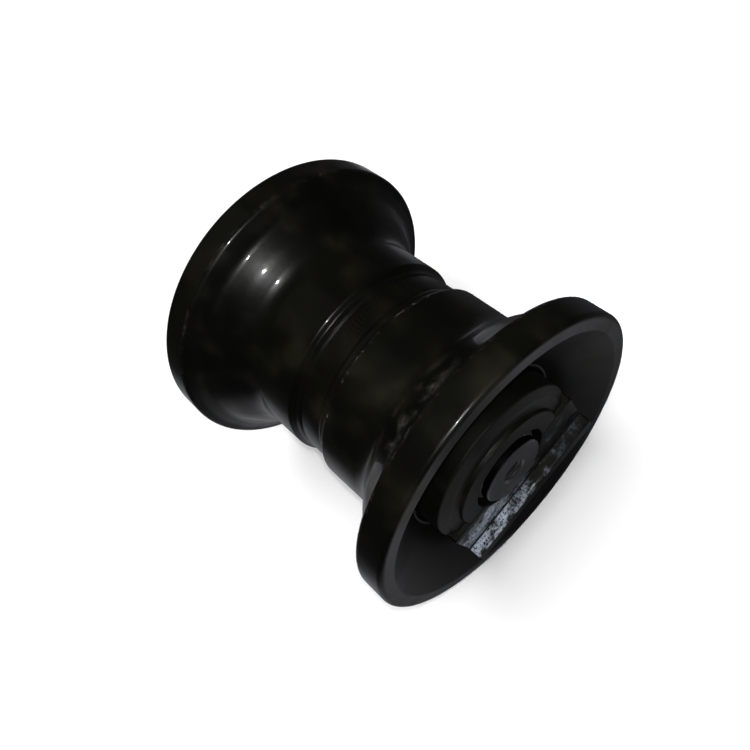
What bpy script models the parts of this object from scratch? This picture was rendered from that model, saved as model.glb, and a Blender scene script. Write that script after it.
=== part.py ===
"""Track roller of a small excavator: a welded double-flange shell that spins on a fixed shaft.

Frame: +Y runs along the shaft, the origin is the middle of the roller, the near end is at -Y,
and the locating lugs of both end collars point to -Z. Sizes are in metres.
A turned section is written as (s, r): s is the distance outwards from the middle plane
along the shaft, and r is the radius.
"""

from math import cos, pi, sin

import bmesh
import bpy
from mathutils import Matrix, Vector

MM = 0.001

# Driving dimensions
FLANGE_R = 80 * MM
TREAD_R = 55 * MM
BODY_HALF = 78.7 * MM  # middle plane to the outer face of a flange
SHAFT_HALF = 80 * MM
JOURNAL_R = 20 * MM
SPIGOT_R = 17.3 * MM  # shaft end that carries the collar
COLLAR_R = 42 * MM
LUG_RISE = 6.3 * MM  # lug top above the flange face
GAP = 0.3 * MM  # between pieces that touch on the real roller

# Shell
WELD_ROOT_R = 45.5 * MM
WELD_TOP = (5.6 * MM, 50.6 * MM)
GROOVE_R = 52.7 * MM
GROOVE_START = 7.8 * MM
SHOULDER_START = 9.4 * MM
SHOULDER = 3.0 * MM  # rounding of the step from the groove up to the tread
TREAD_END = 39.5 * MM
FLANK_START = (44.0 * MM, 58.2 * MM)
FLANK_END = (57.5 * MM, 69.9 * MM)
RIM_INNER = 63.4 * MM
RIM_ROUND = 1.6 * MM
CORNER_ROUND = 2.5 * MM
FACE_INNER_R = 72.3 * MM
DISH_FLOOR = (61.2 * MM, 44.8 * MM)
SKIRT_BORE_R = COLLAR_R + 1.6 * MM
SKIRT_FLOOR = 56.0 * MM
SEAL_BORE_R = 35.8 * MM
SEAL_FLOOR = 48.6 * MM
CAVITY_R = 29.0 * MM
CAVITY_HALF = 18.0 * MM

# Bush
BUSH_R = 24.0 * MM
BUSH_BORE_R = JOURNAL_R + GAP
BUSH_START = CAVITY_HALF + 2.0 * MM
BUSH_FLANGE_R = 26.6 * MM
THRUST_FACE = 52.4 * MM
BUSH_END_ROUND = 0.8 * MM

# Shaft
SHOULDER_S = 52.5 * MM
BOLT_HOLE_R = 6.0 * MM
BOLT_HOLE_BOTTOM = 50.0 * MM
GALLERY_R = 2.5 * MM
CENTRE_CHAMFER = 1.0 * MM
SNAP_GROOVE_R = 16.0 * MM
SNAP_GROOVE = (72.3 * MM, 74.7 * MM)

# Collar
COLLAR_INNER = 52.8 * MM
COLLAR_FACE = 78.0 * MM
HUB_R = 26.0 * MM
COLLAR_BORE_R = SPIGOT_R + GAP
SKIRT_INNER = SKIRT_FLOOR + GAP
SEAL_RECESS = 63.7 * MM
COLLAR_EDGE = (73.2 * MM, COLLAR_R)  # where the chamfer to the outer face starts
COLLAR_LAND = (75.7 * MM, 37.0 * MM)  # outer edge of the lower, outer part of the face
BOSS_R = 31.0 * MM  # raised ring round the shaft's end
COUNTERBORE_R = 21.5 * MM
COUNTERBORE_FLOOR = 72.0 * MM
O_GROOVE = (56.5 * MM, 59.5 * MM)
O_GROOVE_R = 20.5 * MM
PAD_HALF = 42.0 * MM
PAD_FACE = COLLAR_FACE + 0.3 * MM
PAD_UNDERSIDE = 72.4 * MM
PAD_START = 12.0 * MM  # from the shaft axis, on the lug's side
LUG_START = 27.0 * MM
LUG_END = 35.0 * MM

# Seals
SEAL_MEET = SKIRT_FLOOR
SEAL_RING_LENGTH = 6.2 * MM
SEAL_RING_BORE_R = 27.5 * MM
SEAL_RING_R = 30.3 * MM
SEAL_LIP_R = 33.6 * MM
SEAL_LIP = 1.8 * MM
TORIC_R = 33.1 * MM
TORIC_SECTION_R = 2.2 * MM
TORIC_OFFSET = 4.8 * MM  # from the plane where the two seal faces meet
O_RING_R = 18.95 * MM
O_RING_SECTION_R = 1.2 * MM

# Locking pin, snap ring, oil plug
PIN_R = 2.5 * MM
PIN_S = 67.0 * MM
PIN_X = 15.5 * MM
PIN_LOW = -37.0 * MM
PIN_HIGH = 16.0 * MM
SNAP_RING_R = 19.8 * MM
SNAP_RING_BORE_R = 16.3 * MM
SNAP_RING = (72.6 * MM, 74.4 * MM)
SNAP_OPENING = 9.0 * MM
PLUG_R = 5.6 * MM
WASHER_BOTTOM = BOLT_HOLE_BOTTOM + GAP
WASHER_TOP = WASHER_BOTTOM + 1.0 * MM
PLUG_BOTTOM = WASHER_TOP + GAP
PLUG_TOP = PLUG_BOTTOM + 7.0 * MM
PLUG_HEX_R = 2.9 * MM
PLUG_HEX_DEPTH = 4.0 * MM

SEGMENTS = 36
SMALL_SEGMENTS = 24
PIN_SEGMENTS = 12
NEAR, FAR = -1, 1  # sign of Y at each end
SIDES = {"near": NEAR, "far": FAR}


def clear_scene():
    for obj in list(bpy.data.objects):
        bpy.data.objects.remove(obj)


def material(name, colour, roughness, metallic, coat=0.0):
    made = bpy.data.materials.new(name)
    made.use_nodes = True
    shader = made.node_tree.nodes["Principled BSDF"]
    shader.inputs["Base Color"].default_value = (*colour, 1)
    shader.inputs["Roughness"].default_value = roughness
    shader.inputs["Metallic"].default_value = metallic
    shader.inputs["Coat Weight"].default_value = coat
    return made


def arc(centre, radius, start, end, steps):
    """Points (s, r) of an arc about centre, with angles in degrees from the +s direction."""
    points = []
    for i in range(steps + 1):
        angle = (start + (end - start) * i / steps) * pi / 180
        points.append((centre[0] + radius * cos(angle), centre[1] + radius * sin(angle)))
    return points


def finish_mesh(name, shape, look):
    """Turns a bmesh into a smooth-shaded object with outward normals."""
    bmesh.ops.remove_doubles(shape, verts=shape.verts, dist=1e-6)
    bmesh.ops.recalc_face_normals(shape, faces=shape.faces)
    mesh = bpy.data.meshes.new(name)
    shape.to_mesh(mesh)
    shape.free()
    mesh.shade_smooth()
    mesh.set_sharp_from_angle(angle=30 * pi / 180)
    obj = bpy.data.objects.new(name, mesh)
    bpy.context.scene.collection.objects.link(obj)
    if look:
        mesh.materials.append(look)
    return obj


def turned(name, section, side, look, segments=SEGMENTS):
    """Spins a closed section (s, r) once round the Y axis, on the side of Y that side gives."""
    shape = bmesh.new()
    corners = [shape.verts.new((r, side * s, 0)) for s, r in section]
    loop = [shape.edges.new((a, b)) for a, b in zip(corners, corners[1:] + corners[:1])]
    bmesh.ops.spin(
        shape, geom=corners + loop, cent=(0, 0, 0), axis=(0, 1, 0), angle=2 * pi, steps=segments
    )
    return finish_mesh(name, shape, look)


def ring(name, middle, section_r, s, side, look, sections=6):
    """A ring of round section: middle is the radius of its centre line."""
    section = arc((s, middle), section_r, 0, 360, sections)[:-1]
    return turned(name, section, side, look, SMALL_SEGMENTS)


def rod(name, radius, start, end, look=None, segments=SMALL_SEGMENTS):
    """A solid cylinder between two points."""
    start, end = Vector(start), Vector(end)
    run = end - start
    shape = bmesh.new()
    turn = run.to_track_quat("Z", "Y").to_matrix().to_4x4()
    place = Matrix.Translation((start + end) / 2) @ turn
    bmesh.ops.create_cone(
        shape, cap_ends=True, segments=segments, radius1=radius, radius2=radius,
        depth=run.length, matrix=place,
    )
    return finish_mesh(name, shape, look)


def block(name, low, high, look=None):
    """A box between two opposite corners."""
    low, high = Vector(low), Vector(high)
    size = high - low
    shape = bmesh.new()
    place = Matrix.Translation((low + high) / 2) @ Matrix.Diagonal((*size, 1))
    bmesh.ops.create_cube(shape, size=1, matrix=place)
    return finish_mesh(name, shape, look)


def combine(obj, helper, operation):
    """Adds a Boolean of a helper object, which stays hidden."""
    helper.hide_render = True
    helper.display_type = "WIRE"
    modifier = obj.modifiers.new(helper.name, "BOOLEAN")
    modifier.object = helper
    modifier.operation = operation
    modifier.solver = "EXACT"


def shell_half(side_name, side, look):
    """One forged half: groove, tread, flank and flange outside, cavity and seal bore inside."""
    step = arc((SHOULDER_START + SHOULDER, TREAD_R - SHOULDER), SHOULDER, 135, 90, 2)
    fillet_r = (FLANK_START[0] - TREAD_END) / sin(pi / 4)
    fillet = arc((TREAD_END, TREAD_R + fillet_r), fillet_r, 270, 312, 3)
    inner_edge = arc((RIM_INNER + RIM_ROUND, FLANGE_R - RIM_ROUND), RIM_ROUND, 180, 90, 2)
    corner = arc((BODY_HALF - CORNER_ROUND, FLANGE_R - CORNER_ROUND), CORNER_ROUND, 90, 0, 5)
    section = [
        (GAP / 2, CAVITY_R),
        (GAP / 2, WELD_ROOT_R),
        (WELD_TOP[0] + GAP, WELD_TOP[1]),
        (GROOVE_START, GROOVE_R),
        *step,
        *fillet,
        FLANK_START,
        FLANK_END,
        *inner_edge,
        *corner,
        (BODY_HALF, FACE_INNER_R),
        DISH_FLOOR,
        (DISH_FLOOR[0], SKIRT_BORE_R),
        (SKIRT_FLOOR, SKIRT_BORE_R),
        (SKIRT_FLOOR, SEAL_BORE_R),
        (SEAL_FLOOR, SEAL_BORE_R),
        (SEAL_FLOOR, BUSH_R + GAP),
        (CAVITY_HALF, BUSH_R + GAP),
        (CAVITY_HALF, CAVITY_R),
    ]
    return turned(f"shell_{side_name}", section, side, look)


def weld_bead(look):
    """The bead that fills the V between the two halves, slightly crowned."""
    root = WELD_ROOT_R + 2 * GAP
    crown_r = 30 * MM
    half_angle = 10
    centre = WELD_TOP[1] - crown_r * cos(half_angle * pi / 180)
    crown = arc((0, centre), crown_r, 90 + half_angle, 90 - half_angle, 4)
    return turned("weld_bead", [(0, root), *crown], FAR, look)


def bush(side_name, side, look):
    """Flanged plain bearing, pressed in the shell, which also takes the end thrust."""
    section = [
        (BUSH_START, BUSH_BORE_R + BUSH_END_ROUND),
        (BUSH_START, BUSH_R),
        (SEAL_FLOOR + GAP, BUSH_R),
        (SEAL_FLOOR + GAP, BUSH_FLANGE_R),
        (THRUST_FACE, BUSH_FLANGE_R),
        (THRUST_FACE, BUSH_BORE_R + BUSH_END_ROUND),
        (THRUST_FACE - BUSH_END_ROUND, BUSH_BORE_R),
        (BUSH_START + BUSH_END_ROUND, BUSH_BORE_R),
    ]
    return turned(f"bush_{side_name}", section, side, look, SMALL_SEGMENTS)


def shaft(look):
    """The fixed pin, with a tapped hole in each end and an oil gallery from the near one."""
    half = [
        (SHOULDER_S, JOURNAL_R),
        (SHOULDER_S, SPIGOT_R),
        (SNAP_GROOVE[0], SPIGOT_R),
        (SNAP_GROOVE[0], SNAP_GROOVE_R),
        (SNAP_GROOVE[1], SNAP_GROOVE_R),
        (SNAP_GROOVE[1], SPIGOT_R),
        (SHAFT_HALF - CENTRE_CHAMFER, SPIGOT_R),
        (SHAFT_HALF, SPIGOT_R - CENTRE_CHAMFER),
        (SHAFT_HALF, BOLT_HOLE_R + CENTRE_CHAMFER),
        (SHAFT_HALF - CENTRE_CHAMFER, BOLT_HOLE_R),
        (BOLT_HOLE_BOTTOM, BOLT_HOLE_R),
        (BOLT_HOLE_BOTTOM, GALLERY_R),
    ]
    section = half + [(-s, r) for s, r in reversed(half)]
    made = turned("shaft", section, FAR, look, SMALL_SEGMENTS)
    oil_hole = rod("oil_hole_cut", GALLERY_R * 0.9, (0, 0, 0), (0, 0, JOURNAL_R * 1.2), None, 12)
    combine(made, oil_hole, "DIFFERENCE")
    for side_name, side in SIDES.items():
        notch = pin_rod(f"shaft_pin_cut_{side_name}", side, PIN_R + GAP, 10 * MM)
        combine(made, notch, "DIFFERENCE")
    return made


def pin_rod(name, side, radius, extra, look=None):
    """The rod along Z that crosses the edge of the shaft, longer by extra at its lower end."""
    low = (PIN_X, side * PIN_S, PIN_LOW - extra)
    high = (PIN_X, side * PIN_S, PIN_HIGH + (GAP if extra else 0))
    return rod(name, radius, low, high, look, PIN_SEGMENTS)


def pad_and_lug(side_name, side):
    """The flat pad beside the shaft and the lug along its edge: one L section across X."""
    section = [
        (PAD_UNDERSIDE, PAD_START),
        (PAD_FACE, PAD_START),
        (PAD_FACE, LUG_START),
        (BODY_HALF + LUG_RISE, LUG_START),
        (BODY_HALF + LUG_RISE, LUG_END),
        (PAD_UNDERSIDE, LUG_END),
    ]
    shape = bmesh.new()
    outline = shape.faces.new([shape.verts.new((-PAD_HALF, side * s, -z)) for s, z in section])
    grown = bmesh.ops.extrude_face_region(shape, geom=[outline], use_keep_orig=True)
    corners = [item for item in grown["geom"] if isinstance(item, bmesh.types.BMVert)]
    bmesh.ops.translate(shape, verts=corners, vec=(2 * PAD_HALF, 0, 0))
    return finish_mesh(f"pad_{side_name}", shape, None)


def collar(side_name, side, look):
    """End collar: hub on the shaft, skirt over the seals, flat pad and locating lug at -Z."""
    section = [
        (COLLAR_INNER, COLLAR_BORE_R),
        (COLLAR_INNER, HUB_R),
        (SEAL_RECESS, HUB_R),
        (SEAL_RECESS, SEAL_BORE_R),
        (SKIRT_INNER, SEAL_BORE_R),
        (SKIRT_INNER, COLLAR_R),
        COLLAR_EDGE,
        COLLAR_LAND,
        (COLLAR_LAND[0], BOSS_R + 0.5 * MM),
        (COLLAR_FACE, BOSS_R),
        (COLLAR_FACE, COLLAR_BORE_R),
        (O_GROOVE[1], COLLAR_BORE_R),
        (O_GROOVE[1], O_GROOVE_R),
        (O_GROOVE[0], O_GROOVE_R),
        (O_GROOVE[0], COLLAR_BORE_R),
    ]
    made = turned(f"collar_{side_name}", section, side, look)
    combine(made, pad_and_lug(side_name, side), "UNION")
    counterbore = rod(
        f"counterbore_cut_{side_name}", COUNTERBORE_R, (0, side * COUNTERBORE_FLOOR, 0),
        (0, side * SHAFT_HALF * 1.2, 0), None, SEGMENTS,
    )
    combine(made, counterbore, "DIFFERENCE")
    hole = pin_rod(f"collar_pin_cut_{side_name}", side, PIN_R + GAP, 10 * MM)
    combine(made, hole, "DIFFERENCE")
    return made


def seal_ring(name, inward, side, look):
    """Metal face-seal ring: inward is -1 for the ring in the shell and 1 for the one in the collar."""
    face = SEAL_MEET + inward * GAP / 2
    back = face + inward * SEAL_RING_LENGTH
    section = [
        (face, SEAL_RING_BORE_R),
        (face, SEAL_LIP_R),
        (face + inward * SEAL_LIP, SEAL_LIP_R - 1.0 * MM),
        (face + inward * SEAL_LIP, SEAL_RING_R),
        (back, SEAL_RING_R),
        (back, SEAL_RING_BORE_R + 0.8 * MM),
    ]
    return turned(name, section, side, look, SMALL_SEGMENTS)


def snap_ring(side_name, side, look):
    """Retaining ring in the shaft's groove, open for the pliers on the side away from the lug."""
    section = [
        (SNAP_RING[0], SNAP_RING_BORE_R),
        (SNAP_RING[0], SNAP_RING_R),
        (SNAP_RING[1], SNAP_RING_R),
        (SNAP_RING[1], SNAP_RING_BORE_R),
    ]
    made = turned(f"snap_ring_{side_name}", section, side, look, SMALL_SEGMENTS)
    ends = sorted((side * 66 * MM, side * 80 * MM))
    opening = block(
        f"snap_cut_{side_name}",
        (-SNAP_OPENING / 2, ends[0], 0),
        (SNAP_OPENING / 2, ends[1], SNAP_RING_R * 1.5),
    )
    combine(made, opening, "DIFFERENCE")
    return made


def oil_plug(look):
    """Socket-head screw plug at the bottom of the near tapped hole."""
    made = rod("oil_plug", PLUG_R, (0, -PLUG_BOTTOM, 0), (0, -PLUG_TOP, 0), look, SMALL_SEGMENTS)
    socket = rod(
        "plug_socket_cut", PLUG_HEX_R,
        (0, -(PLUG_TOP - PLUG_HEX_DEPTH), 0), (0, -(PLUG_TOP + 2 * MM), 0), None, 6,
    )
    combine(made, socket, "DIFFERENCE")
    return made


def plug_washer(look):
    """Soft washer that the plug is tightened on."""
    section = [
        (WASHER_BOTTOM, GALLERY_R + GAP),
        (WASHER_BOTTOM, PLUG_R),
        (WASHER_TOP, PLUG_R),
        (WASHER_TOP, GALLERY_R + GAP),
    ]
    return turned("plug_washer", section, NEAR, look, SMALL_SEGMENTS)


def build():
    clear_scene()
    paint = material("black_paint", (0.012, 0.012, 0.010), 0.28, 0.0, 0.6)
    steel = material("ground_steel", (0.50, 0.50, 0.50), 0.25, 1.0)
    seal_iron = material("seal_iron", (0.33, 0.33, 0.34), 0.2, 1.0)
    bronze = material("bush_bronze", (0.55, 0.36, 0.16), 0.35, 1.0)
    rubber = material("seal_rubber", (0.015, 0.015, 0.016), 0.6, 0.0)
    spring = material("spring_steel", (0.12, 0.12, 0.13), 0.4, 1.0)
    zinc = material("plug_zinc", (0.55, 0.54, 0.50), 0.35, 1.0)
    copper = material("washer_copper", (0.70, 0.32, 0.18), 0.35, 1.0)

    spin_axis = bpy.data.objects.new("roller_spin_axis", None)
    bpy.context.scene.collection.objects.link(spin_axis)
    turning = [weld_bead(paint)]
    shaft(steel)
    oil_plug(zinc)
    plug_washer(copper)
    for side_name, side in SIDES.items():
        turning.append(shell_half(side_name, side, paint))
        turning.append(bush(side_name, side, bronze))
        turning.append(seal_ring(f"seal_ring_turning_{side_name}", -1, side, seal_iron))
        turning.append(ring(
            f"toric_turning_{side_name}", TORIC_R, TORIC_SECTION_R,
            SEAL_MEET - TORIC_OFFSET, side, rubber,
        ))
        collar(side_name, side, paint)
        seal_ring(f"seal_ring_fixed_{side_name}", 1, side, seal_iron)
        ring(
            f"toric_fixed_{side_name}", TORIC_R, TORIC_SECTION_R,
            SEAL_MEET + TORIC_OFFSET, side, rubber,
        )
        middle = (O_GROOVE[0] + O_GROOVE[1]) / 2
        ring(f"o_ring_{side_name}", O_RING_R, O_RING_SECTION_R, middle, side, rubber)
        pin_rod(f"collar_pin_{side_name}", side, PIN_R, 0, steel)
        snap_ring(side_name, side, spring)
    for obj in turning:
        obj.parent = spin_axis


build()
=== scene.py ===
"""Looks of a track roller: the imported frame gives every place, and each piece is remade finely on it."""

from math import asin, ceil, cos, degrees, pi, radians, sin, tan

import bmesh
import bpy
from mathutils import Matrix, Vector


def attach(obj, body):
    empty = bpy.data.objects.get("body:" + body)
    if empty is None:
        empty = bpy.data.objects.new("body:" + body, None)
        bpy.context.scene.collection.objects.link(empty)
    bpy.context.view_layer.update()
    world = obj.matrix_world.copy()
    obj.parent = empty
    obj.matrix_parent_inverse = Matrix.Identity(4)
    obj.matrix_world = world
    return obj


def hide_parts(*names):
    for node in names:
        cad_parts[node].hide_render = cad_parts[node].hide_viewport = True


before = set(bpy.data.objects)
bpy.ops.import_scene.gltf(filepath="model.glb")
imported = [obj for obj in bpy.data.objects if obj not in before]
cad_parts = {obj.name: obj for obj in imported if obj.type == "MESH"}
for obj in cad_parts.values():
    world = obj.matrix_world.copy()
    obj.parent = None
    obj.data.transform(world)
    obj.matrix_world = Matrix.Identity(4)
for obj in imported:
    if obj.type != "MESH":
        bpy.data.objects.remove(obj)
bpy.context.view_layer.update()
MM = 0.001
SIDES = {"near": -1, "far": 1}

# ---------------------------------------------------------------------------------------------
# Shell halves. Each is a steel forging with a tread, a flank and a flange, machined inside and
# on the tread, then sprayed gloss black after the two halves are welded together.
# A section is a closed list of corners (s, r, rounding) in millimetres: s is the distance out
# from the middle plane along the shaft, and r the radius.
# ---------------------------------------------------------------------------------------------
FLANGE_R = 80.0
TREAD_R = 55.0
BODY_HALF = 78.7
GROOVE_R = 52.7
COLLAR_R = 42.0
SKIRT_BORE_R = COLLAR_R + 1.6
SEAL_BORE_R = 35.8
BUSH_R = 24.0
CAVITY_R = 29.0
DISH_INNER_R = 44.8
FACE_INNER_R = 72.3
DISH_FLOOR = 61.2
SKIRT_FLOOR = 56.0
SEAL_FLOOR = 48.6
CAVITY_HALF = 18.0
FIT = 0.3  # round a bush or under the collar, where the real pieces touch
SHELL_STEPS = 216


def rounded(corners, arc_step=12.0, hold=0.35):
    """The outline with each corner's rounding as an arc, and a held point where each arc ends."""
    points = []
    for i, (s, r, rounding) in enumerate(corners):
        corner = Vector((s, r))
        before = Vector(corners[i - 1][:2]) - corner
        after = Vector(corners[(i + 1) % len(corners)][:2]) - corner
        if rounding <= 0:
            points.append(corner)
            continue
        opening = before.angle(after)
        reach = rounding / tan(opening / 2)
        start, end = corner + before.normalized() * reach, corner + after.normalized() * reach
        middle = (before.normalized() + after.normalized()).normalized()
        centre = corner + middle * rounding / sin(opening / 2)
        turn = pi - opening
        steps = max(3, round(degrees(turn) / arc_step))
        first, last = start - centre, end - centre
        points.append(start + before.normalized() * min(hold, rounding))
        for k in range(steps + 1):
            t = k / steps
            blend = (sin((1 - t) * turn) * first + sin(t * turn) * last) / sin(turn)
            points.append(centre + blend)
        points.append(end + after.normalized() * min(hold, rounding))
    return [(p.x * MM, p.y * MM) for p in points]


class Wire:
    """A value in a node tree; Python's operators on it add Math nodes."""

    def __init__(self, nodes, socket):
        self.nodes = nodes
        self.socket = socket

    def math(self, operation, *values):
        return self.nodes.node("ShaderNodeMath", dict(enumerate(values)), operation=operation)

    def __add__(self, other):
        return self.math("ADD", self, other)

    def __radd__(self, other):
        return self.math("ADD", other, self)

    def __sub__(self, other):
        return self.math("SUBTRACT", self, other)

    def __rsub__(self, other):
        return self.math("SUBTRACT", other, self)

    def __mul__(self, other):
        return self.math("MULTIPLY", self, other)

    def __rmul__(self, other):
        return self.math("MULTIPLY", other, self)

    def __truediv__(self, other):
        return self.math("DIVIDE", self, other)

    def __mod__(self, other):
        return self.math("FLOORED_MODULO", self, other)

    def __abs__(self):
        return self.math("ABSOLUTE", self)

    def larger(self, other):
        return self.math("MAXIMUM", self, other)

    def smaller(self, other):
        return self.math("MINIMUM", self, other)

    def root(self):
        return self.math("SQRT", self)

    def sine(self):
        return self.math("SINE", self)

    def cosine(self):
        return self.math("COSINE", self)

    def round(self):
        return self.math("ROUND", self)

    def near(self, value, within):
        """1 within a distance of the value, and 0 elsewhere."""
        return self.math("COMPARE", self, value, within)

    def between(self, low, high):
        """0 below low and 1 above high, with a smooth step from one to the other."""
        return self.nodes.node(
            "ShaderNodeMapRange",
            {"Value": self, "From Min": low, "From Max": high},
            interpolation_type="SMOOTHSTEP",
        )


class Nodes:
    """Adds nodes to one tree, of a material or of Geometry Nodes."""

    def __init__(self, tree):
        self.tree = tree

    def node(self, kind, inputs=None, output=0, **settings):
        """Adds any node: its settings first, then its inputs, as values or wires."""
        made = self.tree.nodes.new(kind)
        for setting, value in settings.items():
            setattr(made, setting, value)
        for key, value in (inputs or {}).items():
            self.feed(made.inputs[key], value)
        return Wire(self, made.outputs[output])

    def feed(self, socket, value):
        if isinstance(value, Wire):
            self.tree.links.new(value.socket, socket)
        else:
            socket.default_value = value


class Rule(Nodes):
    """A Geometry Nodes tree with named inputs, which gives one solid in one finish."""

    def __init__(self, name, **inputs):
        super().__init__(bpy.data.node_groups.new(name, "GeometryNodeTree"))
        interface = self.tree.interface
        for given, kind in {**inputs, "Finish": "Material"}.items():
            interface.new_socket(name=given, in_out="INPUT", socket_type="NodeSocket" + kind)
        interface.new_socket(name="Solid", in_out="OUTPUT", socket_type="NodeSocketGeometry")
        self.entry = self.tree.nodes.new("NodeGroupInput")

    def given(self, name):
        return Wire(self, self.entry.outputs[name])

    def position(self):
        """The x, y and z of each point."""
        place = self.node("GeometryNodeInputPosition")
        return [self.node("ShaderNodeSeparateXYZ", {0: place}, axis) for axis in range(3)]

    def moved(self, solid, x, y, z):
        place = self.node("ShaderNodeCombineXYZ", {0: x, 1: y, 2: z})
        return self.node("GeometryNodeSetPosition", {"Geometry": solid, "Position": place})

    def close(self, solid):
        """Ends the tree with one real mesh, in the finish that was given."""
        real = self.node("GeometryNodeRealizeInstances", {0: solid})
        done = self.node(
            "GeometryNodeSetMaterial", {"Geometry": real, "Material": self.given("Finish")}
        )
        self.feed(self.tree.nodes.new("NodeGroupOutput").inputs[0], done)
        return self.tree


def lathe_rule():
    """Spins a closed outline of points (s, r) once round the Y axis."""
    rule = Rule("turn_on_lathe", Outline="Geometry", Steps="Int", Side="Float")
    count = rule.node(
        "GeometryNodeAttributeDomainSize", {"Geometry": rule.given("Outline")}, "Point Count"
    )
    rows = {"Vertices X": count + 1, "Vertices Y": rule.given("Steps") + 1}
    grid = rule.node("GeometryNodeMeshGrid", rows)
    over = Wire(rule, grid.socket.node.outputs["UV Map"])
    along = rule.node("ShaderNodeSeparateXYZ", {0: over}, 0)
    angle = rule.node("ShaderNodeSeparateXYZ", {0: over}, 1) * (2 * pi)
    corner = rule.node(
        "GeometryNodeSampleIndex",
        {"Geometry": rule.given("Outline"), "Value": rule.node("GeometryNodeInputPosition"),
         "Index": (along * count).round() % count},
        data_type="FLOAT_VECTOR", domain="POINT",
    )
    s = rule.node("ShaderNodeSeparateXYZ", {0: corner}, 0)
    r = rule.node("ShaderNodeSeparateXYZ", {0: corner}, 1)
    spun = rule.moved(grid, r * angle.cosine(), s * rule.given("Side"), r * angle.sine())
    merged = rule.node("GeometryNodeMergeByDistance", {"Geometry": spun, "Distance": 1e-7})
    return rule.close(merged)


LATHE = lathe_rule()


def follow(obj, rule, **values):
    """Puts a rule on an object, its inputs set by the identifiers of their sockets."""
    modifier = obj.modifiers.new(rule.name, "NODES")
    modifier.node_group = rule
    for item in rule.interface.items_tree:
        wanted = item.name.lower().replace(" ", "_")
        if item.item_type == "SOCKET" and item.in_out == "INPUT" and wanted in values:
            modifier[item.identifier] = values[wanted]


def made_real(obj):
    """Puts the object's modifiers into its mesh and removes them."""
    graph = bpy.context.evaluated_depsgraph_get()
    mesh = bpy.data.meshes.new_from_object(obj.evaluated_get(graph), depsgraph=graph)
    obj.modifiers.clear()
    mesh.name = obj.name
    obj.data = mesh
    return mesh


def plain(obj, look, sharp=35, weighted=False):
    """The object with its modifiers made real, its doubles merged and its faces turned out."""
    mesh = made_real(obj)
    shape = bmesh.new()
    shape.from_mesh(mesh)
    bmesh.ops.remove_doubles(shape, verts=shape.verts, dist=1e-7)
    bmesh.ops.recalc_face_normals(shape, faces=shape.faces)
    shape.to_mesh(mesh)
    shape.free()
    mesh.materials.clear()
    mesh.materials.append(look)
    mesh.polygons.foreach_set("material_index", [0] * len(mesh.polygons))
    mesh.shade_smooth()
    mesh.set_sharp_from_angle(angle=radians(sharp))
    if weighted:
        even = obj.modifiers.new("even_faces", "WEIGHTED_NORMAL")
        even.keep_sharp = True
        even.weight = 100
        made_real(obj)
    return obj


def new_object(name, mesh):
    obj = bpy.data.objects.new(name, mesh)
    bpy.context.scene.collection.objects.link(obj)
    return obj


def turned(name, corners, side, look, steps=96, sharp=35, rules=()):
    """A piece turned from its rounded outline on one side of the middle, then cut by rules."""
    outline = bpy.data.meshes.new(name)
    outline.from_pydata([(s, r, 0) for s, r in rounded(corners)], [], [])
    obj = new_object(name, outline)
    follow(obj, LATHE, steps=steps, side=float(side), finish=look)
    for rule, values in rules:
        follow(obj, rule, finish=look, **values)
    return plain(obj, look, sharp)


def place_on_frame(piece, node, body):
    """Puts a piece in place of its node, whose own part is hidden, under the node's body."""
    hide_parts(node)
    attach(piece, body)


class Finish(Nodes):
    """A material with one Principled shader, and the nodes that feed it."""

    def __init__(self, name, **constants):
        self.material = bpy.data.materials.new(name)
        self.material.use_nodes = True
        super().__init__(self.material.node_tree)
        self.shader = self.tree.nodes["Principled BSDF"]
        for socket, value in constants.items():
            self.shader.inputs[socket.replace("_", " ")].default_value = value
        self.place = self.node("ShaderNodeTexCoord", output="Object")
        self.x = self.node("ShaderNodeSeparateXYZ", {0: self.place}, 0)
        self.y = self.node("ShaderNodeSeparateXYZ", {0: self.place}, 1)
        self.z = self.node("ShaderNodeSeparateXYZ", {0: self.place}, 2)
        self.s = abs(self.y)
        self.r = (self.x * self.x + self.z * self.z).root()

    def noise(self, size, detail=3.0, roughness=0.55, place=None, stretch=(1, 1, 1), seed=0.0):
        """Noise whose grains are about size metres across, stretched by stretch."""
        moved = self.node(
            "ShaderNodeMapping",
            {"Vector": place or self.place, "Location": (seed, seed * 0.7, seed * 1.3),
             "Scale": tuple(1 / (size * k) for k in stretch)},
        )
        return self.node(
            "ShaderNodeTexNoise",
            {"Vector": moved, "Scale": 1.0, "Detail": detail, "Roughness": roughness},
        )

    def ringwise(self):
        """Coordinates (radius, length along the shaft), for marks that run round the axis."""
        return self.node("ShaderNodeCombineXYZ", {0: self.r, 1: self.y, 2: 0.0})

    def tint(self, factor, low, high):
        """A colour from low to high, each given as numbers or as a wire."""
        values = {0: factor}
        for slot, colour in ((6, low), (7, high)):
            values[slot] = colour if isinstance(colour, Wire) else (*colour, 1.0)
        return self.node("ShaderNodeMix", values, 2, data_type="RGBA")

    def bump(self, *layers):
        """Bumps of (height wire, depth in metres), one over another, on the Normal."""
        normal = None
        for height, depth in layers:
            inputs = {"Height": height, "Distance": depth, "Strength": 1.0}
            if normal:
                inputs["Normal"] = normal
            normal = self.node("ShaderNodeBump", inputs)
        self.feed(self.shader.inputs["Normal"], normal)

    def paint(self, colour=None, roughness=None, metallic=None, coat=None):
        wanted = {
            "Base Color": colour, "Roughness": roughness, "Metallic": metallic, "Coat Weight": coat
        }
        for socket, value in wanted.items():
            if value is not None:
                self.feed(self.shader.inputs[socket], value)


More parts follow.
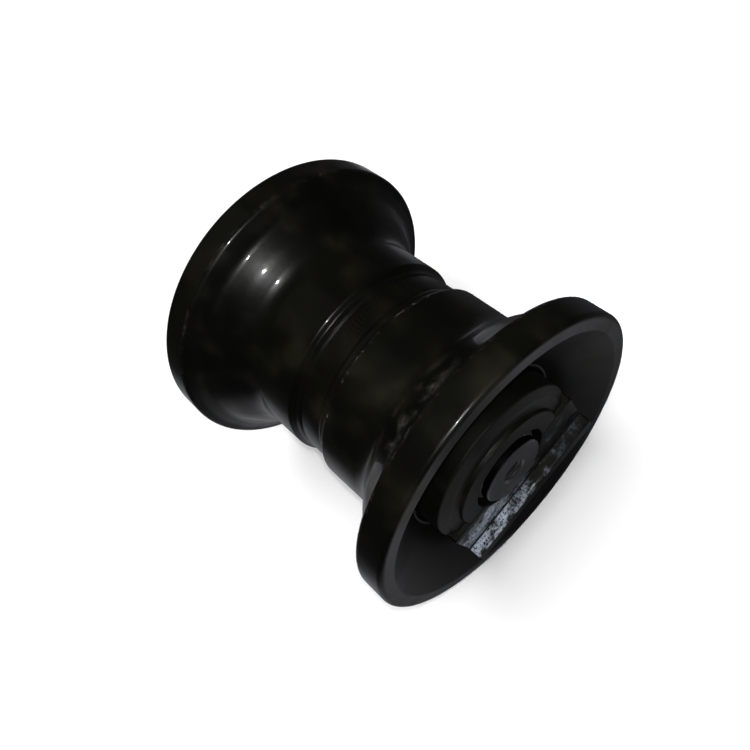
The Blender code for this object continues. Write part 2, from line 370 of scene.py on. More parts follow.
def gloss_black(name, peel=1.0, seed=0.0, rough=0.0):
    """Sprayed black enamel: runs and orange peel, a dull film of dust, grey scuffs and chips.

    peel scales the orange peel, and rough, from 0 to 1, adds the skin of an unmachined forging.
    """
    look = Finish(
        name, Coat_Roughness=0.07, Coat_IOR=1.45, Specular_IOR_Level=0.22 - 0.04 * rough,
    )
    cloud = look.noise(0.030, 2.5, 0.5, seed=seed)
    smear = look.noise(0.014, 2.5, 0.5, stretch=(1, 1.8, 1), seed=seed + 5)
    dust = smear.between(0.44, 0.74) * cloud.between(0.36, 0.66)
    grain = look.noise(0.0010, 3.0, 0.7, seed=seed + 3)
    patch = look.noise(0.011, 2.0, 0.5, stretch=(0.7, 1.6, 0.7), seed=seed + 9)
    # Grazes on the near flank just before the rim, where a chain or a tool has rubbed it.
    on_top = look.z.between(30 * MM, 50 * MM) * (1 - look.x.between(5 * MM, 24 * MM))
    flank = look.y.between(-64 * MM, -56 * MM) * (1 - look.y.between(-48 * MM, -40 * MM))
    scuff = patch.between(0.44, 0.72) * grain.between(0.36, 0.70) * flank * on_top
    # Chips along the shoulder of the groove and the inner edges of the rims.
    edge = look.y.near(-12.4 * MM, 0.9 * MM) * look.r.near(54.9 * MM, 0.7 * MM)
    edge = edge + look.s.near(64.0 * MM, 0.9 * MM) * look.r.between(79.0 * MM, 79.6 * MM) * 0.6
    flake = look.noise(0.0016, 4.0, 0.7, seed=seed + 6)
    chips = edge * flake.between(0.52, 0.66) * patch.between(0.40, 0.56)
    # The flanges' faces were machined, and took the enamel duller.
    face = look.s.between(60.6 * MM, 61.6 * MM) * (1 - look.r.between(78.6 * MM, 79.4 * MM))
    black = look.tint(cloud, (0.0005, 0.0005, 0.0005), (0.0026, 0.0025, 0.0015))
    dusty = look.tint(dust * 0.8, black, (0.0080, 0.0074, 0.0040))
    rubbed = (scuff * 0.55).larger(chips * 0.50)
    look.paint(
        colour=look.tint(rubbed, dusty, (0.080, 0.078, 0.066)),
        roughness=0.28 + 0.10 * cloud + 0.14 * dust + 0.20 * rubbed + 0.06 * face + 0.14 * rough,
        coat=(0.62 - 0.30 * dust) * (1 - 0.85 * face) * (1 - rubbed),
    )
    wave = look.noise(0.015, 2.0, 0.5, seed=seed + 1)
    skin = look.noise(0.0021, 1.0, 0.5, seed=seed + 2)
    layers = [(wave, 0.00014 * peel), (skin, 0.000020 * peel), (grain, 0.000006 * peel)]
    if rough:
        layers.append((look.noise(0.0040, 5.0, 0.65, seed=seed + 4), 0.00022 * rough))
    look.bump(*layers)
    return look


SHELL_SECTION = [
    (FIT / 2, 45.5, 0),
    (5.3, 51.35, 0.3),
    (7.6, 52.5, 1.0),
    (10.0, GROOVE_R, 1.2),
    (12.0, TREAD_R, 1.6),
    (41.0, TREAD_R, 14.0),
    (50.0, 64.0, 34.0),
    (58.6, 70.5, 8.0),
    (63.4, FLANGE_R, 2.6),
    (BODY_HALF, FLANGE_R, 2.5),
    (BODY_HALF, FACE_INNER_R, 0.9),
    (DISH_FLOOR, DISH_INNER_R, 1.0),
    (DISH_FLOOR, SKIRT_BORE_R, 0.4),
    (SKIRT_FLOOR, SKIRT_BORE_R, 0.2),
    (SKIRT_FLOOR, SEAL_BORE_R, 0.4),
    (SEAL_FLOOR, SEAL_BORE_R, 0.6),
    (SEAL_FLOOR, BUSH_R + FIT, 0.3),
    (CAVITY_HALF, BUSH_R + FIT, 0.3),
    (CAVITY_HALF, CAVITY_R, 0.5),
    (FIT / 2, CAVITY_R, 0),
]
black_enamel = gloss_black("gloss_black_enamel").material
for side_name, side in SIDES.items():
    shell = turned(f"forged_shell_{side_name}", SHELL_SECTION, side, black_enamel, SHELL_STEPS)
    place_on_frame(shell, f"shell_{side_name}", "roller")

# ---------------------------------------------------------------------------------------------
# Weld bead. Weld metal laid by machine in the V between the halves while the roller turns, so
# its ripples run across it at an even pitch; dressed low and painted over.
# ---------------------------------------------------------------------------------------------
RIPPLES = 150
RIPPLE_STEPS = 900
RIPPLE_HEIGHT = 0.04
WELD_TOP = 52.0
WELD_EDGE = (4.4, 50.2, 0)
WELD_ROOT_R = 46.1


def ripple_rule():
    """Raises the outside of a ring in curved ripples, at an even pitch round it."""
    rule = Rule("weld_ripples", Solid="Geometry", Count="Float", Height="Float", Above="Float")
    x, y, z = rule.position()
    r = (x * x + z * z).root()
    lag = y * y * (1 / (2.2 * MM) ** 2)
    wave = (x.math("ARCTAN2", z, x) * rule.given("Count") + lag).sine()
    outside = r.math("GREATER_THAN", r, rule.given("Above"))
    grow = 1 + wave * outside * rule.given("Height") / r
    return rule.close(rule.moved(rule.given("Solid"), x * grow, y, z * grow))


RIPPLE = ripple_rule()
weld_section = [(0.0, WELD_ROOT_R, 0), WELD_EDGE]
weld_section += [(float(s), WELD_TOP - 0.005 * s * s, 0) for s in range(6, -7, -1)]
weld_section += [(-WELD_EDGE[0], WELD_EDGE[1], 0)]
weld = turned(
    "weld_bead_run", weld_section, 1, black_enamel, RIPPLE_STEPS, 50,
    [(RIPPLE, {"count": float(RIPPLES), "height": RIPPLE_HEIGHT * MM, "above": (WELD_TOP - 0.3) * MM})],
)
place_on_frame(weld, "weld_bead", "roller")

# ---------------------------------------------------------------------------------------------
# Shaft. A ground steel pin, fixed in the machine, with a tapped hole and a snap-ring groove at
# each end, and an oil gallery. The ends that stand out of the collars were sprayed black.
# ---------------------------------------------------------------------------------------------
SHAFT_HALF = 80.0
SPIGOT_R = 17.3
JOURNAL_R = 20.0
JOURNAL_HALF = 52.5
RING_GROOVE_R = 16.0
RING_GROOVE = (72.3, 74.7)
HOLE_R = 6.0
THREAD_R = HOLE_R - 0.1
THREAD_START = 60.0
THREAD_PITCH = 1.75


def screw_rule():
    """Cuts a helical groove or thread of triangular section into a turned face of one radius."""
    rule = Rule(
        "cut_a_screw", Solid="Geometry", Radius="Float", Low="Float", High="Float",
        Pitch="Float", Width="Float", Depth="Float",
    )
    x, y, z = rule.position()
    r = (x * x + z * z).root()
    s = abs(y)
    low, high = rule.given("Low"), rule.given("High")
    middle, half = (low + high) / 2, (high - low) / 2
    inside = s.near(middle, half) * r.near(rule.given("Radius"), 0.05 * MM)
    turns = y / rule.given("Pitch") + x.math("ARCTAN2", z, x) / (2 * pi)
    from_groove = abs(turns % 1.0 - 0.5) * rule.given("Pitch") / rule.given("Width") * 2
    ends = (half - abs(s - middle)) / rule.given("Pitch")
    cut = (1 - from_groove).larger(0.0) * (ends * 2).smaller(1.0)
    grow = 1 + inside * cut * rule.given("Depth") / r
    return rule.close(rule.moved(rule.given("Solid"), x * grow, y, z * grow))


SCREW = screw_rule()


def rows(start, end, r, pitch=0.22):
    """Corners along a straight face, close enough together to carry a thread."""
    count = ceil(abs(end - start) / pitch)
    return [(start + (end - start) * i / count, r, 0) for i in range(count + 1)]


def end_of_shaft():
    """Outline from the journal out to the end face and down the tapped hole."""
    return [
        (JOURNAL_HALF, JOURNAL_R, 0.8),
        (JOURNAL_HALF, SPIGOT_R, 0.3),
        (RING_GROOVE[0], SPIGOT_R, 0.1),
        (RING_GROOVE[0], RING_GROOVE_R, 0.2),
        (RING_GROOVE[1], RING_GROOVE_R, 0.2),
        (RING_GROOVE[1], SPIGOT_R, 0.1),
        (SHAFT_HALF - 0.8, SPIGOT_R, 0.2),
        (SHAFT_HALF, SPIGOT_R - 0.7, 0.2),
        (SHAFT_HALF, HOLE_R + 0.9, 0.5),
        (SHAFT_HALF - 1.0, THREAD_R, 0.5),
        *rows(SHAFT_HALF - 1.5, THREAD_START, THREAD_R),
        (52.0, THREAD_R, 0.2),
        (50.0, 2.5, 0.2),
    ]


def ground_steel(name):
    """Ground steel with fine grinding lines round the shaft, black enamel on the ends, and painted shade
    on the side of the end down in the well.
    """
    look = Finish(name, Coat_Roughness=0.08, Specular_IOR_Level=0.4)
    lines = look.noise(0.00012, 2.0, 0.6, look.ringwise())
    cloud = look.noise(0.012, 4.0, 0.6)
    edge = look.noise(0.0012, 3.0, 0.7)
    painted = (look.s + edge * (1.5 * MM)).between(76.2 * MM, 77.0 * MM)
    worn = look.noise(0.0018, 4.0, 0.7, seed=4).between(0.66, 0.74)
    corner = look.r.near(HOLE_R * MM + 0.0006, 0.0009) + look.r.near(16.6 * MM, 0.0007)
    bare = (1 - painted) + painted * corner * worn * 0.9
    bare = bare.smaller(1.0)
    # Painted shade: the side of the end, down in the well round it, is coloured near black, with less
    # roughness and no coat, to stand for the shade in the well; elsewhere black is the enamel's own.
    painted_well_shade = look.r.between(16.9 * MM, 17.1 * MM) * painted
    black = look.tint(painted_well_shade, (0.0140, 0.0140, 0.0140), (0.0004, 0.0004, 0.0004))
    steel = look.tint(cloud, (0.36, 0.36, 0.37), (0.52, 0.52, 0.51))
    look.paint(
        colour=look.tint(bare, black, steel),
        roughness=0.29 + 0.10 * lines + 0.06 * cloud - 0.12 * painted_well_shade,
        metallic=bare,
        coat=(0.40 - 0.40 * bare) * (1 - painted_well_shade),
    )
    look.bump((look.noise(0.004, 3.0, 0.6), 0.00010), (lines, 0.000006))
    return look.material


shaft_steel = ground_steel("ground_shaft_steel")
half = end_of_shaft()
shaft_section = half + [(-s, r, rounding) for s, r, rounding in reversed(half)]
thread = {
    "radius": THREAD_R * MM, "low": THREAD_START * MM, "high": (SHAFT_HALF - 1.3) * MM,
    "pitch": THREAD_PITCH * MM, "width": THREAD_PITCH * MM, "depth": -0.85 * MM,
}
shaft = turned("ground_shaft", shaft_section, 1, shaft_steel, 96, 40, [(SCREW, thread)])


def joined(obj, helper, operation):
    """Adds or cuts away a helper, which is then removed."""
    modifier = obj.modifiers.new(helper.name, "BOOLEAN")
    modifier.object = helper
    modifier.operation = operation
    modifier.solver = "EXACT"
    made_real(obj)
    bpy.data.objects.remove(helper)


def upright(obj, x, s, z):
    """Turns a piece made along the shaft to stand along Z, and sets its middle."""
    obj.data.transform(Matrix.Translation((x * MM, s * MM, z * MM)) @ Matrix.Rotation(pi / 2, 4, "X"))
    return obj


PIN_R = 2.5
PIN_X = 15.5
PIN_S = 67.0
PIN_MIDDLE = -10.5
PIN_HALF = 26.5
PIN_FIT = 0.12


def pin_cutter(name, side, below=PIN_HALF + FIT):
    """A rod a little larger than the pin, which reaches a given distance below its middle."""
    bore, above = PIN_R + PIN_FIT, PIN_HALF + FIT
    corners = [(-below, 0.0, 0), (-below, bore, 0), (above, bore, 0), (above, 0.0, 0)]
    return upright(turned(name, corners, 1, shaft_steel, 48), PIN_X, side * PIN_S, PIN_MIDDLE)


for side_name, side in SIDES.items():
    joined(shaft, pin_cutter(f"pin_notch_{side_name}", side), "DIFFERENCE")
oil_way = [(-13.0, 0.0, 0), (-13.0, 2.0, 0), (11.0, 2.0, 0), (13.0, 3.4, 0), (13.0, 0.0, 0)]
joined(shaft, upright(turned("oil_way", oil_way, -1, shaft_steel, 32), 0, 0, 12.0), "DIFFERENCE")
plain(shaft, shaft_steel, 40)
place_on_frame(shaft, "shaft", "fixed_shaft")

# ---------------------------------------------------------------------------------------------
# End collars. Steel forgings pinned to the shaft: a hub, a skirt over the seals, and a flat pad
# with a locating lug that bears on the track frame. Sprayed with the shell, so gloss black.
# ---------------------------------------------------------------------------------------------
COLLAR_FACE = 78.0
BOSS_R = 31.0
PAD_HALF = 42.0
PAD_FACE = 78.3
LUG_START = 27.0
LUG_END = 35.0
LUG_TOP = 85.0
COUNTERBORE_R = 21.5
COUNTERBORE_FLOOR = 72.0
COLLAR_BORE_R = SPIGOT_R + 0.15
PAD_UNDERSIDE = 72.4
PIN_WAY_OUT = 33.5  # from the pin's middle down past the underside of the hub
COLLAR_SECTION = [
    (52.8, COLLAR_BORE_R, 0.4),
    (52.8, 26.0, 0.5),
    (63.7, 26.0, 1.0),
    (63.7, SEAL_BORE_R, 1.0),
    (56.3, SEAL_BORE_R, 0.6),
    (56.3, COLLAR_R, 0.6),
    (73.2, COLLAR_R, 1.2),
    (75.7, 37.0, 1.2),
    (75.7, BOSS_R + 0.6, 0.5),
    (COLLAR_FACE, BOSS_R, 0.5),
    (COLLAR_FACE, COLLAR_BORE_R, 0),
    (59.5, COLLAR_BORE_R, 0.1),
    (59.5, 20.5, 0.3),
    (56.5, 20.5, 0.3),
    (56.5, COLLAR_BORE_R, 0.1),
]
PAD_SECTION = [
    (PAD_UNDERSIDE, 5.0, 0.8),
    (PAD_FACE, 5.0, 0.25),
    (PAD_FACE, LUG_START, 1.0),
    (LUG_TOP, LUG_START, 1.2),
    (LUG_TOP, LUG_END, 1.2),
    (PAD_UNDERSIDE, LUG_END, 2.0),
]


def plate(name, outline, low, high, edge, place, look, steps=4):
    """Stretches an outline between two levels, its outer edges rounded; place gives x, y and z."""
    levels = []
    for k in range(steps + 1):
        turn = k / steps * pi / 2
        levels.append((edge - edge * sin(turn), edge - edge * cos(turn)))
    levels = levels[::-1]
    rings = [(low + inset, shrink) for inset, shrink in levels]
    rings += [(high - inset, shrink) for inset, shrink in reversed(levels)]
    points = [Vector(p) for p in outline]
    area = sum(a.x * b.y - a.y * b.x for a, b in zip(points, points[1:] + points[:1]))
    shape = bmesh.new()
    loops = []
    for level, shrink in rings:
        loop = []
        for i, point in enumerate(points):
            run = points[(i + 1) % len(points)] - points[i - 1]
            inward = Vector((-run.y, run.x)).normalized() * (1 if area > 0 else -1)
            moved = point + inward * shrink
            loop.append(shape.verts.new(place(moved.x, moved.y, level)))
        loops.append(loop)
    for one, other in zip(loops, loops[1:]):
        for i in range(len(points)):
            j = (i + 1) % len(points)
            shape.faces.new((one[i], one[j], other[j], other[i]))
    shape.faces.new(loops[0])
    shape.faces.new(loops[-1])
    bmesh.ops.recalc_face_normals(shape, faces=shape.faces)
    mesh = bpy.data.meshes.new(name)
    shape.to_mesh(mesh)
    shape.free()
    mesh.materials.append(look)
    return new_object(name, mesh)


def collar(side_name, side, look):
    """One collar: hub, pad and lug, opened for the shaft's end and bored for the pin."""
    made = turned(f"forged_collar_{side_name}", COLLAR_SECTION, side, look, 144)
    slab = plate(
        f"pad_slab_{side_name}", rounded(PAD_SECTION), -PAD_HALF * MM, PAD_HALF * MM, 0.8 * MM,
        lambda s, z, x: (x, side * s, -z), look,
    )
    joined(made, slab, "UNION")
    mouth = [
        (COUNTERBORE_FLOOR, 0.0, 0), (COUNTERBORE_FLOOR, COUNTERBORE_R, 0.6), (77.7, COUNTERBORE_R, 0),
        (78.3, COUNTERBORE_R + 0.6, 0), (90.0, COUNTERBORE_R + 0.6, 0), (90.0, 0.0, 0),
    ]
    joined(made, turned(f"mouth_{side_name}", mouth, side, look, 144), "DIFFERENCE")
    joined(made, pin_cutter(f"pin_bore_{side_name}", side, PIN_WAY_OUT), "DIFFERENCE")
    return plain(made, look, 35, weighted=True)


def forging_worn_with_painted_reflection(name):
    """The same enamel on a rough forging, worn to pale metal on the machined pad and lug, with a painted
    reflection: the pale blue-white patches grow wider and stronger towards -X.
    """
    look = gloss_black(name, peel=0.6, seed=21.0, rough=1.0)
    blotch = look.noise(0.0065, 5.0, 0.75, stretch=(1.4, 1, 1), seed=31)
    spots = look.noise(0.0017, 3.0, 0.7, seed=33)
    pad = look.s.near(PAD_FACE * MM, 0.15 * MM) * look.z.between(-26.9 * MM, -26.2 * MM)
    pad = pad * (1 - look.z.between(-14 * MM, -7 * MM))
    wall = look.z.near(-(LUG_START + 0.2) * MM, 0.5 * MM) * look.s.between(78.9 * MM, 79.6 * MM)
    # Partly painted reflection: besides the wear, the pale patches are made wider and stronger towards -X,
    # as a reflection lights that side.
    painted_reflection_side = 1 - look.x.between(-24 * MM, 16 * MM)
    worn = (pad + wall) * (blotch + painted_reflection_side * 0.12).between(0.50, 0.70) * spots.between(0.40, 0.50)
    worn = worn * (0.15 + 0.85 * painted_reflection_side)
    under, gloss, coat = (
        Wire(look, look.shader.inputs[socket].links[0].from_socket)
        for socket in ("Base Color", "Roughness", "Coat Weight")
    )
    look.paint(
        colour=look.tint(worn, under, (0.36, 0.41, 0.48)), metallic=worn * 0.5,
        roughness=gloss + 0.04 * worn, coat=coat * (1 - worn),
    )
    return look.material


collar_enamel = forging_worn_with_painted_reflection("gloss_black_on_forging")
for side_name, side in SIDES.items():
    made = collar(side_name, side, collar_enamel)
    place_on_frame(made, f"collar_{side_name}", "fixed_shaft")

# ---------------------------------------------------------------------------------------------
# Locking pins. Hardened steel dowels driven up into each collar from the underside of its hub,
# across the edge of the shaft, so that the shaft can't turn; their ends are chamfered.
# ---------------------------------------------------------------------------------------------


def bare_steel(name, low, high, roughness, grain, depth):
    """Metal without paint: a fine grain, and a slow change of tone and gloss."""
    look = Finish(name, Metallic=1.0)
    fine = look.noise(grain, 3.0, 0.6, look.ringwise())
    cloud = look.noise(0.008, 4.0, 0.6)
    look.paint(
        colour=look.tint(cloud * 0.7 + fine * 0.3, low, high),
        roughness=roughness + 0.10 * fine + 0.10 * cloud,
    )
    look.bump((fine, depth))
    return look.material


pin_steel = bare_steel("hardened_pin_steel", (0.22, 0.22, 0.23), (0.40, 0.40, 0.40), 0.22, 0.0003, 4e-6)
PIN_SECTION = [
    (-PIN_HALF, 0.0, 0), (-PIN_HALF, PIN_R - 0.6, 0.2), (-PIN_HALF + 1.2, PIN_R, 0.3),
    (PIN_HALF - 1.2, PIN_R, 0.3), (PIN_HALF, PIN_R - 0.6, 0.2), (PIN_HALF, 0.0, 0),
]
for side_name, side in SIDES.items():
    pin = turned(f"locking_pin_{side_name}", PIN_SECTION, 1, pin_steel, 48)
    upright(pin, PIN_X, side * PIN_S, PIN_MIDDLE)
    place_on_frame(pin, f"collar_pin_{side_name}", "fixed_shaft")

# ---------------------------------------------------------------------------------------------
# Snap rings. Stamped spring steel, blackened and oiled: widest opposite the opening, with an
# ear and a plier hole at each end. Each sits in its groove at the bottom of the counterbore.
# ---------------------------------------------------------------------------------------------
RING_BORE_R = 16.25
RING_LOW = 72.65
RING_HIGH = 74.35
RING_HALF_OPEN = asin(4.5 / RING_BORE_R)
BAND_R = 18.2  # at the ears
BAND_GROWTH = 1.3  # and how much wider opposite them
EAR_R = 20.6
EAR_TURN = radians(13)
EAR_HOLE_R = 18.6


def ring_outline():
    """The ring in the plane (x, z), open towards +Z, as one closed outline."""
    outside, inside = [], []
    count = 120
    for i in range(count + 1):
        turn = RING_HALF_OPEN + (2 * pi - 2 * RING_HALF_OPEN) * i / count
        to_end = min(turn - RING_HALF_OPEN, 2 * pi - RING_HALF_OPEN - turn)
        band = BAND_R + BAND_GROWTH * sin(turn / 2) ** 2
        if to_end < EAR_TURN:
            band = EAR_R
        elif to_end < EAR_TURN * 1.5:
            blend = (to_end - EAR_TURN) / (EAR_TURN * 0.5)
            band = EAR_R + (band - EAR_R) * sin(blend * pi / 2)
        outside.append((band * sin(turn) * MM, band * cos(turn) * MM))
        inside.append((RING_BORE_R * sin(turn) * MM, RING_BORE_R * cos(turn) * MM))
    return outside + inside[::-1]


spring = bare_steel(
    "blackened_spring_steel", (0.030, 0.030, 0.032), (0.085, 0.082, 0.078), 0.34, 0.0005, 6e-6
)
for side_name, side in SIDES.items():
    ring = plate(
        f"snap_ring_band_{side_name}", ring_outline(), RING_LOW * MM, RING_HIGH * MM, 0.18 * MM,
        lambda x, z, s: (x, side * s, z), spring, 2,
    )
    turn = RING_HALF_OPEN + EAR_TURN / 2
    for hand in (-1, 1):
        drill = turned(
            f"plier_hole_{side_name}",
            [(70.0, 0.0, 0), (70.0, 1.05, 0), (77.0, 1.05, 0), (77.0, 0.0, 0)], side, spring, 24,
        )
        drill.data.transform(Matrix.Translation(
            (hand * EAR_HOLE_R * sin(turn) * MM, 0, EAR_HOLE_R * cos(turn) * MM)
        ))
        joined(ring, drill, "DIFFERENCE")
    plain(ring, spring, 30, weighted=True)
    place_on_frame(ring, f"snap_ring_{side_name}", "fixed_shaft")

# ---------------------------------------------------------------------------------------------
# Oil plug and washer. A zinc-plated screw plug with a hexagon socket closes the oil gallery at
# the bottom of the near tapped hole, down on a soft copper washer.
# ---------------------------------------------------------------------------------------------
PLUG_R = 5.0
PLUG_LOW = 51.6
PLUG_HIGH = 58.6
HEXAGON_R = 2.9
zinc = bare_steel("zinc_plate", (0.42, 0.41, 0.36), (0.62, 0.61, 0.56), 0.28, 0.0006, 5e-6)
copper = bare_steel("soft_copper", (0.50, 0.20, 0.10), (0.74, 0.36, 0.20), 0.30, 0.0006, 5e-6)
plug_section = [
    (PLUG_LOW, 0.0, 0), (PLUG_LOW, PLUG_R - 1.0, 0.2), *rows(PLUG_LOW + 1.0, PLUG_HIGH - 0.8, PLUG_R),
    (PLUG_HIGH, PLUG_R - 0.8, 0.2), (PLUG_HIGH, 0.0, 0),
]
plug_thread = {
    "radius": PLUG_R * MM, "low": (PLUG_LOW + 0.9) * MM, "high": (PLUG_HIGH - 0.7) * MM,
    "pitch": 1.25 * MM, "width": 1.25 * MM, "depth": 0.55 * MM,
}
plug = turned("socket_oil_plug", plug_section, -1, zinc, 72, 40, [(SCREW, plug_thread)])
hexagon = [(HEXAGON_R * cos(k * pi / 3) * MM, HEXAGON_R * sin(k * pi / 3) * MM) for k in range(6)]
socket = plate(
    "hexagon_socket", hexagon, (PLUG_HIGH - 4) * MM, (PLUG_HIGH + 1) * MM, 0.0,
    lambda x, z, s: (x, -s, z), zinc, 1,
)
joined(plug, socket, "DIFFERENCE")
plain(plug, zinc, 40)
place_on_frame(plug, "oil_plug", "fixed_shaft")
washer = turned(
    "copper_washer", [(50.3, 2.8, 0.15), (50.3, 5.5, 0.3), (51.3, 5.5, 0.3), (51.3, 2.8, 0.15)],
    -1, copper, 72,
)
place_on_frame(washer, "plug_washer", "fixed_shaft")

# ---------------------------------------------------------------------------------------------
# Bushes. Bronze plain bearings pressed in the shell, with a spiral oil groove in the bore and a
# flange that takes the end thrust of the collar.
# ---------------------------------------------------------------------------------------------
BUSH_BORE_R = 20.2
bronze = bare_steel("bearing_bronze", (0.42, 0.25, 0.09), (0.62, 0.41, 0.18), 0.26, 0.00018, 4e-6)
bush_section = [
    (20.0, BUSH_BORE_R + 0.8, 0.2),
    (20.0, BUSH_R - 0.5, 0.2),
    (20.8, BUSH_R, 0.2),
    (48.0, BUSH_R, 0.1),
    (48.2, BUSH_R - 0.5, 0.1),
    (48.9, BUSH_R - 0.5, 0.1),
    (48.9, 26.6, 0.4),
    (52.4, 26.6, 0.4),
    (52.4, BUSH_BORE_R + 0.8, 0.2),
    *rows(51.6, 20.8, BUSH_BORE_R, 0.4),
]
oil_groove = {
    "radius": BUSH_BORE_R * MM, "low": 21.5 * MM, "high": 51.0 * MM,
    "pitch": 15.0 * MM, "width": 3.0 * MM, "depth": 0.8 * MM,
}
for side_name, side in SIDES.items():
    bush = turned(
        f"flanged_bush_{side_name}", bush_section, side, bronze, 144, 40, [(SCREW, oil_groove)]
    )
    place_on_frame(bush, f"bush_{side_name}", "roller")

# ---------------------------------------------------------------------------------------------
# Face seals. Two hard cast-iron rings meet on a narrow lapped band, one turning with the shell
# and one fixed in the collar; each is carried and pressed by its own moulded rubber toric ring.
# ---------------------------------------------------------------------------------------------
SEAL_MEET = SKIRT_FLOOR
TORIC_R = 33.1
TORIC_SECTION_R = 2.2
TORIC_OUT = 4.8  # from the plane where the seal rings meet


def lapped_iron(name):
    """Hard iron: cast skin at the back, and a lapped bright band on the sealing face."""
    look = Finish(name, Metallic=1.0)
    fine = look.noise(0.0004, 4.0, 0.65)
    rings = look.noise(0.00008, 1.0, 0.5, look.ringwise())
    band = 1 - abs(look.s - SEAL_MEET * MM).between(0.4 * MM, 0.6 * MM)
    skin = look.tint(fine, (0.14, 0.14, 0.14), (0.26, 0.26, 0.26))
    look.paint(
        colour=look.tint(band, skin, (0.5, 0.5, 0.5)),
        roughness=0.42 - 0.28 * band + 0.12 * fine,
    )
    look.bump((fine * (1 - band), 0.00004), (rings, 0.000002))
    return look.material


def moulded_rubber(name):
    """Black rubber: a fine matt skin with a slight bloom and a faint mould line."""
    look = Finish(name, Specular_IOR_Level=0.3)
    skin = look.noise(0.0005, 4.0, 0.65)
    bloom = look.noise(0.006, 4.0, 0.6)
    look.paint(
        colour=look.tint(bloom, (0.010, 0.010, 0.011), (0.030, 0.030, 0.031)),
        roughness=0.50 + 0.20 * bloom + 0.10 * skin,
    )
    look.bump((skin, 0.00002))
    return look.material


seal_iron = lapped_iron("lapped_seal_iron")
rubber = moulded_rubber("moulded_seal_rubber")


def seal_section(inward):
    """The ring on one side of the meeting plane: inward is -1 in the shell and 1 in the collar."""
    def at(depth):
        return SEAL_MEET + inward * (0.15 + depth)
    return [
        (at(0.0), 32.0, 0.05),
        (at(0.0), 33.4, 0.2),
        (at(1.0), 33.6, 0.4),
        (at(1.8), 33.0, 0.3),
        (at(2.4), 30.6, 0.6),
        (at(6.2), 30.0, 0.5),
        (at(6.2), 28.3, 0.5),
        (at(0.5), 27.6, 0.5),
        (at(0.4), 31.5, 0.2),
    ]


def round_section(middle_s, middle_r, radius, count=28):
    """A ring's round section, with a thin mould line standing on its outside and inside."""
    corners = []
    for k in range(count):
        turn = 2 * pi * k / count
        line = 0.07 if k in (count // 4, 3 * count // 4) else 0.0
        grown = radius + line
        corners.append((middle_s + grown * cos(turn), middle_r + grown * sin(turn), 0))
    return corners


for side_name, side in SIDES.items():
    for inward, word, body in ((-1, "turning", "roller"), (1, "fixed", "fixed_shaft")):
        ring = turned(f"face_seal_{word}_{side_name}", seal_section(inward), side, seal_iron, 120)
        place_on_frame(ring, f"seal_ring_{word}_{side_name}", body)
        middle = SEAL_MEET + inward * TORIC_OUT
        toric = turned(
            f"rubber_toric_{word}_{side_name}", round_section(middle, TORIC_R, TORIC_SECTION_R),
            side, rubber, 120, 60,
        )
        place_on_frame(toric, f"toric_{word}_{side_name}", body)

# ---------------------------------------------------------------------------------------------
# O-rings. A moulded rubber ring in a groove of each collar's bore keeps the oil off the shaft's
# end.
# ---------------------------------------------------------------------------------------------
O_RING_MIDDLE = 58.0
O_RING_R = 18.95
O_RING_SECTION_R = 1.2
for side_name, side in SIDES.items():
    o_ring = turned(
        f"rubber_o_ring_{side_name}", round_section(O_RING_MIDDLE, O_RING_R, O_RING_SECTION_R),
        side, rubber, 96, 60,
    )
    place_on_frame(o_ring, f"o_ring_{side_name}", "fixed_shaft")

# ---------------------------------------------------------------------------------------------
# Camera, lights and floor. A flash beside the lens gives the small hard glints down the middle
# of the roller. A wide lamp overhead, which the enamel doesn't mirror, lights the pale floor, and
# what the enamel mirrors of the floor is toned apart from it.
# ---------------------------------------------------------------------------------------------
CAMERA_PLACE = Vector((-0.005386, -0.175817, 0.317444))
CAMERA_RIGHT = Vector((0.62674, -0.67541, -0.38861))
CAMERA_AHEAD = Vector((0.0, 0.49871, -0.86677))
camera = bpy.data.objects.new("camera", bpy.data.cameras.new("camera"))
bpy.context.scene.collection.objects.link(camera)
ahead = CAMERA_AHEAD.normalized()
right = (CAMERA_RIGHT - CAMERA_RIGHT.dot(ahead) * ahead).normalized()
turn = Matrix((right, right.cross(ahead), -ahead)).transposed()
camera.matrix_world = Matrix.Translation(CAMERA_PLACE) @ turn.to_4x4()
camera.data.lens = 34.80
camera.data.clip_start = 0.01
bpy.context.scene.camera = camera


def soft_light(name, place, target, size, power, colour=(1, 1, 1), glossy=True):
    """A round lamp of a width and a power, turned to its target."""
    lamp = bpy.data.lights.new(name, "AREA")
    lamp.shape = "DISK"
    lamp.size = size
    lamp.energy = power
    lamp.color = colour
    obj = new_object(name, lamp)
    obj.location = place
    obj.rotation_mode = "QUATERNION"
    obj.rotation_quaternion = (Vector(target) - Vector(place)).to_track_quat("-Z", "Y")
    obj.visible_glossy = glossy


flash_place = CAMERA_PLACE * 1.02 + right.cross(ahead) * 0.012
soft_light("flash", flash_place, (0, 0, 0), 0.010, 0.62)
soft_light("overhead", (0.12, 0.25, 1.4), (0, 0.1, 0), 2.2, 46, glossy=False)
soft_light("ceiling", (-0.1, 0.9, 0.9), (0, 0, 0), 1.1, 0.20, (1.0, 0.97, 0.80))

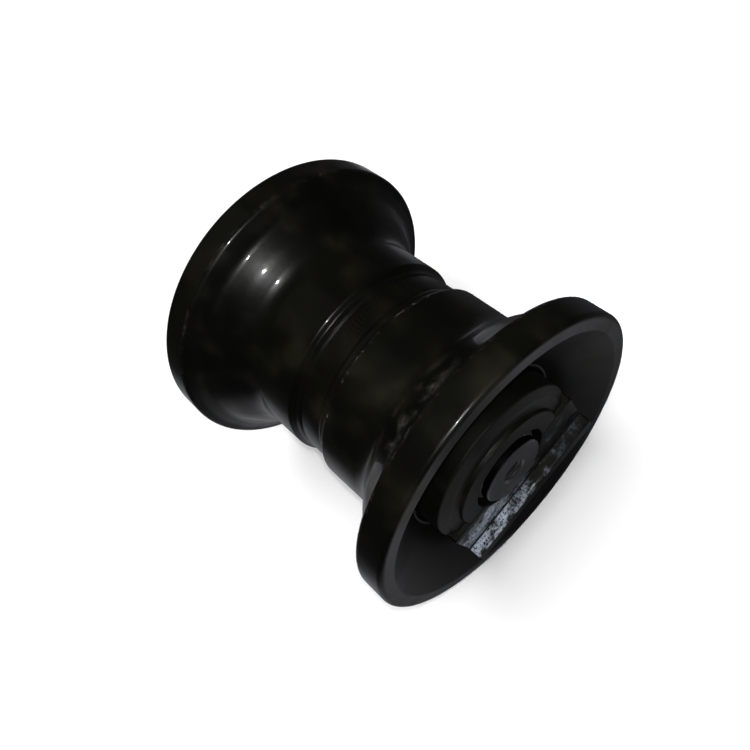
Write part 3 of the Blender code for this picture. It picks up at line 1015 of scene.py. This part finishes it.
ground = bmesh.new()
bmesh.ops.create_grid(ground, x_segments=1, y_segments=1, size=3.0)
floor_mesh = bpy.data.meshes.new("floor")
ground.to_mesh(floor_mesh)
ground.free()
floor_mesh.transform(Matrix.Translation((0, 0, -(FLANGE_R + 0.4) * MM)))
floor = new_object("floor", floor_mesh)
# Far from the roller the floor glows, so that it stays as pale as the backdrop.
pale = Finish("pale_floor", Roughness=0.9, Emission_Strength=1.0)
pale.paint(colour=pale.tint(pale.noise(0.3), (0.86, 0.86, 0.86), (0.90, 0.90, 0.90)))
away = (pale.x * pale.x + pale.y * pale.y).root().between(0.6, 1.8)
pale.feed(pale.shader.inputs["Emission Color"], pale.tint(away, (0, 0, 0), (0.84, 0.85, 0.88)))
# How bright the enamel mirrors each stretch of the floor: a glow along the -X side, a weaker one
# along +X, and one off each end of the roller, which is strongest to the sides of the shaft.
left = (1 - pale.x.between(-0.105, -0.005)) * pale.x.between(-0.28, -0.10) * 0.32
right_side = pale.x.between(0.05, 0.12) * (1 - pale.x.between(0.2, 0.4)) * 0.03
front = pale.s.between(0.070, 0.135) * 0.19 + pale.s.between(0.11, 0.24) * 0.26
front = front * (1 - pale.s.between(0.3, 0.9)) * (1 - abs(pale.x).between(0.07, 0.20))
front = front * (0.55 + 1.7 * abs(pale.x).between(0.012, 0.05))
mirror_tone = pale.tint(
    right_side + left.larger(front), (0.015, 0.015, 0.018), (0.92, 0.93, 0.98),
)
dim = pale.node("ShaderNodeEmission", {"Color": mirror_tone, "Strength": 1.0})
mirrored = pale.node("ShaderNodeLightPath", output="Is Glossy Ray")
out = pale.tree.nodes["Material Output"]
pale.feed(
    out.inputs["Surface"],
    pale.node(
        "ShaderNodeMixShader",
        {0: mirrored, 1: Wire(pale, pale.shader.outputs[0]), 2: dim},
    ),
)
floor.data.materials.append(pale.material)

world = bpy.data.worlds.new("studio")
bpy.context.scene.world = world
world.use_nodes = True
studio = Nodes(world.node_tree)
sky = studio.tree.nodes["Background"]
sky.inputs["Color"].default_value = (0.95, 0.97, 1.0, 1)
seen = studio.node("ShaderNodeLightPath", output="Is Camera Ray")
studio.feed(sky.inputs["Strength"], seen * 0.85 + 0.012)
bpy.context.scene.view_settings.view_transform = "Standard"
